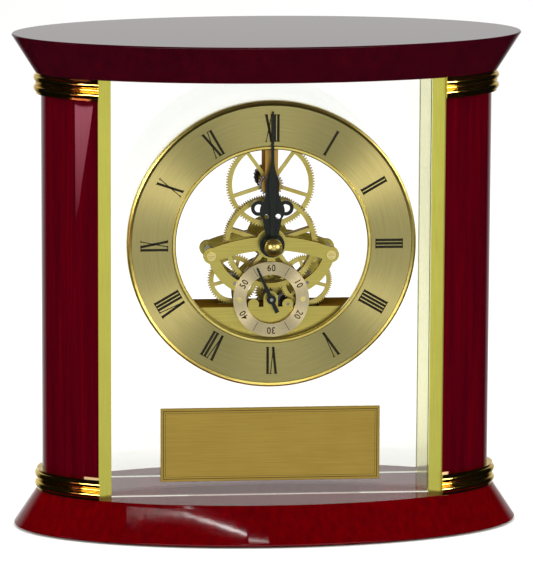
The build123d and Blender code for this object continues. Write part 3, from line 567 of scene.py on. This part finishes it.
def letter_strokes(letter, x):
    """Outlines of one letter whose middle is at x."""
    top = NUMERAL_HEIGHT
    if letter == "I":
        return [leaning(x, x, THICK, top), serif(x, 0, WIDE_SERIF), serif(x, top, WIDE_SERIF)]
    if letter == "V":
        return [
            leaning(x + V_OVERLAP, x - V_SPREAD, THICK, top),
            leaning(x - V_OVERLAP, x + V_SPREAD, THIN, top),
            serif(x - V_SPREAD, top, WIDE_SERIF), serif(x + V_SPREAD, top, NARROW_SERIF),
        ]
    return [
        leaning(x + X_SPREAD, x - X_SPREAD, THICK, top), leaning(x - X_SPREAD, x + X_SPREAD, THIN, top),
        serif(x - X_SPREAD, top, WIDE_SERIF), serif(x + X_SPREAD, top, NARROW_SERIF),
        serif(x + X_SPREAD, 0, WIDE_SERIF), serif(x - X_SPREAD, 0, NARROW_SERIF),
    ]


def numeral_ring(work):
    """The Roman hours, feet towards the centre."""
    numerals = ("XII", "I", "II", "III", "IIII", "V", "VI", "VII", "VIII", "IX", "X", "XI")
    for hour, letters in enumerate(numerals):
        place = on_dial(DIAL, NUMERAL_FOOT, 30 * hour)
        x = -sum(LETTER_WIDTH[letter] for letter in letters) / 2
        for letter in letters:
            width = LETTER_WIDTH[letter]
            for outline in letter_strokes(letter, x + width / 2):
                prism(work, outline, place, DIAL_FACE - INK_PROUD, DIAL_FACE + INK_SUNK)
            x += width


TICK_FOOT = 9.5 * MM
TICK_LENGTH = 3.7 * MM
TICK_WIDTH = 0.16 * MM


def small_ticks(work):
    """Fine radial lines between the small dial's figures."""
    for second in (5, 25, 35, 55):
        place = on_dial(SMALL, TICK_FOOT, 6 * second)
        tick = leaning(0, 0, TICK_WIDTH, TICK_LENGTH)
        prism(work, tick, place, SMALL_FACE - INK_PROUD, SMALL_FACE + INK_SUNK)


FIGURE_HEIGHT = 2.35 * MM
FIGURE_RADIUS = 11.3 * MM
FIGURE_DEPTH = 0.02 * MM
FIGURE_SWELL = 0.05 * MM
FIGURE_NARROWING = 0.86
FIGURE_SPACING = 1.12
CAPITAL_SHARE = 0.70  # height of a figure as a share of the font's size


def figure_mesh(figures):
    """Flat figures in dial coordinates, as a mesh."""
    curve = bpy.data.curves.new("figures", "FONT")
    curve.body = figures
    curve.align_x = "CENTER"
    curve.align_y = "CENTER"
    curve.size = FIGURE_HEIGHT / CAPITAL_SHARE
    curve.extrude = FIGURE_DEPTH
    curve.offset = FIGURE_SWELL
    curve.space_character = FIGURE_SPACING
    text = bpy.data.objects.new("figures", curve)
    scene.collection.objects.link(text)
    bpy.context.view_layer.update()
    mesh = bpy.data.meshes.new_from_object(text.evaluated_get(bpy.context.evaluated_depsgraph_get()))
    bpy.data.objects.remove(text)
    mesh.materials.clear()
    return mesh


def small_figures():
    """The figures of the small dial, set radially with their heads outward."""
    for second in (60, 10, 20, 30, 40, 50):
        mesh = figure_mesh(str(second))
        mesh.name = f"figure_{second}"
        place = on_dial(SMALL, FIGURE_RADIUS, 6 * second)
        for vertex in mesh.vertices:
            x, y, depth = vertex.co
            vertex.co = place(x * FIGURE_NARROWING, y, SMALL_FACE - depth)
        print_on(f"figure_{second}", mesh)


BORDER_LINES = ((0.9 * MM, 0.22 * MM), (1.7 * MM, 0.10 * MM))


def plaque_border(work):
    """Two ruled lines round the edge of the engraving plate, each an inset and a width."""
    low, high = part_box("plaque")

    def to_world(x, z, depth):
        return (x, depth, z)

    for inset, width in BORDER_LINES:
        x0, x1 = low.x + inset, high.x - inset
        z0, z1 = low.z + inset, high.z - inset
        for outline in (
            [(x0, z0), (x1, z0), (x1, z0 + width), (x0, z0 + width)],
            [(x0, z1 - width), (x1, z1 - width), (x1, z1), (x0, z1)],
            [(x0, z0 + width), (x0 + width, z0 + width), (x0 + width, z1 - width), (x0, z1 - width)],
            [(x1 - width, z0 + width), (x1, z0 + width), (x1, z1 - width), (x1 - width, z1 - width)],
        ):
            prism(work, outline, to_world, low.y - INK_SUNK, low.y + INK_SUNK)


printed("hour_numerals", numeral_ring)
printed("seconds_ticks", small_ticks)
small_figures()
printed("plaque_border", plaque_border)


# ---------------------------------------------------------------- stage, light and camera


def make_floor():
    """A pale matt floor that the clock's polished faces don't mirror."""
    s = Shade("floor", Roughness=0.9, Specular_IOR_Level=0.0)
    cloud = s.noise(s.place(), scale=6.0)
    s.drive("Base Color", s.ramp(cloud, (0.3, (0.90, 0.90, 0.90, 1)), (0.7, (0.93, 0.93, 0.93, 1))))
    half = 4.0
    corners = [(-half, -half, 0), (half, -half, 0), (half, half, 0), (-half, half, 0)]
    mesh = bpy.data.meshes.new("floor")
    mesh.from_pydata(corners, [], [(0, 1, 2, 3)])
    floor = link_mesh("floor", mesh, s)
    floor.visible_glossy = False


def towards(azimuth, elevation):
    """Direction from the clock; azimuth 0 is in front and positive to the right."""
    a, e = math.radians(azimuth), math.radians(elevation)
    return Vector((math.sin(a) * math.cos(e), -math.cos(a) * math.cos(e), math.sin(e)))


LAMP_AIM = Vector((0, 0, 0.09))
WARM = (1.0, 0.90, 0.80)
SOFT_WARM = (1.0, 0.95, 0.86)
WHITE = (1.0, 1.0, 1.0)


def softbox(name, azimuth, elevation, distance, size, power, tint):
    """A rectangular soft lamp aimed at the middle of the clock."""
    lamp = bpy.data.lights.new(name, "AREA")
    lamp.shape = "RECTANGLE"
    lamp.size, lamp.size_y = size
    lamp.energy = power
    lamp.color = tint
    made = bpy.data.objects.new(name, lamp)
    made.location = LAMP_AIM + towards(azimuth, elevation) * distance
    made.rotation_euler = (LAMP_AIM - made.location).to_track_quat("-Z", "Y").to_euler()
    scene.collection.objects.link(made)
    return made


def keep_off(lamp, *names):
    """Keeps a lamp's light off these nodes, whose polished flat tops would mirror it whole."""
    spared = bpy.data.collections.new(lamp.name + "_spared")
    for name in names:
        spared.objects.link(nodes[name])
    for row in spared.collection_objects:
        row.light_linking.link_state = "EXCLUDE"
    lamp.light_linking.receiver_collection = spared


def make_lamps():
    """Two keys and a front lamp that the metal mirrors, and fill from above that it doesn't."""
    for lamp in (
        softbox("key_left", -50, 17, 1.5, (0.5, 0.45), 10, WARM),
        softbox("key_right", 56, 17, 1.5, (0.42, 0.45), 11.5, WARM),
        softbox("front_card", 4, 27, 1.5, (0.7, 0.16), 2.6, SOFT_WARM),
    ):
        keep_off(lamp, "top_slab", "base")
    softbox("overhead", -8, 62, 1.4, (0.5, 0.5), 6, WHITE).visible_glossy = False


# Reflector strips that the front of the base mirrors as pale streaks: places along the middle of each
# strip, in mm, and half the strip's width there.
STREAK = (
    ((-580.8, -628.8, 907.2), 0.03), ((-509.2, -661.0, 923.0), 0.05),
    ((-442.2, -685.3, 936.1), 0.07), ((-379.1, -703.7, 947.0), 0.09),
    ((-319.4, -717.5, 955.9), 0.12), ((-262.6, -728.1, 962.8), 0.2),
    ((-208.6, -736.3, 967.6), 0.3), ((-156.5, -742.7, 970.5), 0.42),
    ((-105.9, -747.5, 972.1), 0.55), ((-56.5, -751.1, 972.0), 0.62),
    ((-7.6, -753.2, 970.9), 0.45),
)
SHORT_STREAK = (((-1, -755.4, 968.4), 0.35), ((81, -753.8, 965.8), 0.2))
STREAK_TINT = (1.0, 0.97, 0.95, 1)
BASE_FRONT = Vector((-0.03, -0.04, 0.008))

# A reflector that the left column mirrors as a wedge narrowing downwards: its corners in mm, and the
# heights between which its glow rises from nothing to full.
WEDGE = ((-523, -215, 84), (-448, -328, 84), (-506, -246, 38), (-521, -219, 30))
WEDGE_FADE = (26 * MM, 80 * MM)
WEDGE_TINT = (1.0, 0.34, 0.46, 1)


def reflector(name, corners, faces, strength, tint, fade=None):
    """A bright card that shows in reflections, and through glass, but not to the camera itself."""
    s = Shade(name, Roughness=1.0, Base_Color=(0, 0, 0, 1), Specular_IOR_Level=0.0)
    glow = s.ramp(s.noise(s.place(), scale=60), (0.3, (0.9, 0.9, 0.9, 1)), (0.7, (1, 1, 1, 1)))
    s.drive("Emission Color", s.mix(1.0, glow, tint, "MULTIPLY"))
    if fade:
        strength = s.span(s.split(s.place())[2], 0.0, strength, *fade)
    s.drive("Emission Strength", strength)
    mesh = bpy.data.meshes.new(name)
    mesh.from_pydata(corners, [], faces)
    made = link_mesh(name, mesh, s)
    made.visible_camera = False
    made.visible_diffuse = False
    made.visible_shadow = False


def reflector_strip(name, path, strength):
    """A reflector along a path, turned square to the front of the base."""
    points = [Vector(point) * MM for point, half in path]
    corners = []
    for i, (point, (_, half)) in enumerate(zip(points, path)):
        along = points[min(i + 1, len(points) - 1)] - points[max(i - 1, 0)]
        across = along.cross(point - BASE_FRONT).normalized() * half * MM
        corners += [point - across, point + across]
    faces = [(2 * i, 2 * i + 1, 2 * i + 3, 2 * i + 2) for i in range(len(path) - 1)]
    reflector(name, corners, faces, strength, STREAK_TINT)


def make_reflectors():
    corners = [Vector(corner) * MM for corner in WEDGE]
    reflector("column_card", corners, [(0, 1, 2, 3)], 4.4, WEDGE_TINT, WEDGE_FADE)
    reflector_strip("streak", STREAK, 24.0)
    reflector_strip("short_streak", SHORT_STREAK, 18.0)


def make_world():
    """White to the eye and to matt surfaces. Mirrors see a low glow in front and behind, near the
    middle, and a weaker one higher up behind; the rest is dark to them."""
    world = bpy.data.worlds.new("studio")
    scene.world = world
    world.use_nodes = True
    g = Graph(world.node_tree)

    def smooth(value, from_low, from_high, low, high):
        return g.span(value, low, high, from_low, from_high, "SMOOTHSTEP")

    x, y, z = g.split(g.node("TexCoord").outputs["Generated"])
    low = g.math("MULTIPLY", smooth(z, -0.42, -0.2, 0.0, 1.0), smooth(z, 0.35, 0.05, 0.0, 1.0))
    near_middle = smooth(g.math("ABSOLUTE", x), 0.35, 0.62, 1.0, 0.0)
    low_glow = g.math("MULTIPLY", g.math("MULTIPLY", low, near_middle), 0.95)
    low_glow = g.math("ADD", low_glow, 0.004)
    behind = g.math("MULTIPLY", smooth(y, 0.55, 0.85, 0.0, 1.0), smooth(z, -0.5, -0.1, 0.0, 0.6))
    mirrored = g.math("MAXIMUM", low_glow, behind)
    glossy = g.node("LightPath").outputs["Is Glossy Ray"]
    strength = g.math("ADD", g.math("MULTIPLY", glossy, mirrored), g.math("SUBTRACT", 1.0, glossy))
    background = g.tree.nodes["Background"]
    g.join(strength, background.inputs["Strength"])
    g.join((1, 1, 1, 1), background.inputs["Color"])


# The camera, fitted to a long lens a little above the clock and to its left. Angles are in degrees, and
# the focal length is in pixels of a frame FRAME_PIXELS along its longer side.
CAMERA_AZIMUTH, CAMERA_ELEVATION, CAMERA_ROLL = -5.32, 10.58, 0.25
CAMERA_DISTANCE = 1.7186
CAMERA_TARGET = Vector((0.0001, 0, 0.0894))
FOCAL_PIXELS = 4731
FRAME_PIXELS = 562
SENSOR_MM = 36


def make_camera():
    lens = bpy.data.cameras.new("camera")
    lens.lens = FOCAL_PIXELS * SENSOR_MM / FRAME_PIXELS
    lens.clip_end = 50
    made = bpy.data.objects.new("camera", lens)
    place = CAMERA_TARGET + towards(CAMERA_AZIMUTH, CAMERA_ELEVATION) * CAMERA_DISTANCE
    look = (CAMERA_TARGET - place).to_track_quat("-Z", "Y").to_matrix().to_4x4()
    roll = Matrix.Rotation(math.radians(CAMERA_ROLL), 4, "Z")
    made.matrix_world = Matrix.Translation(place) @ look @ roll
    scene.collection.objects.link(made)
    scene.camera = made


make_floor()
make_world()
make_lamps()
make_reflectors()
make_camera()

scene.view_settings.view_transform = "Standard"
scene.cycles.use_denoising = True
scene.cycles.max_bounces = 16
scene.cycles.transmission_bounces = 12
scene.cycles.transparent_max_bounces = 12
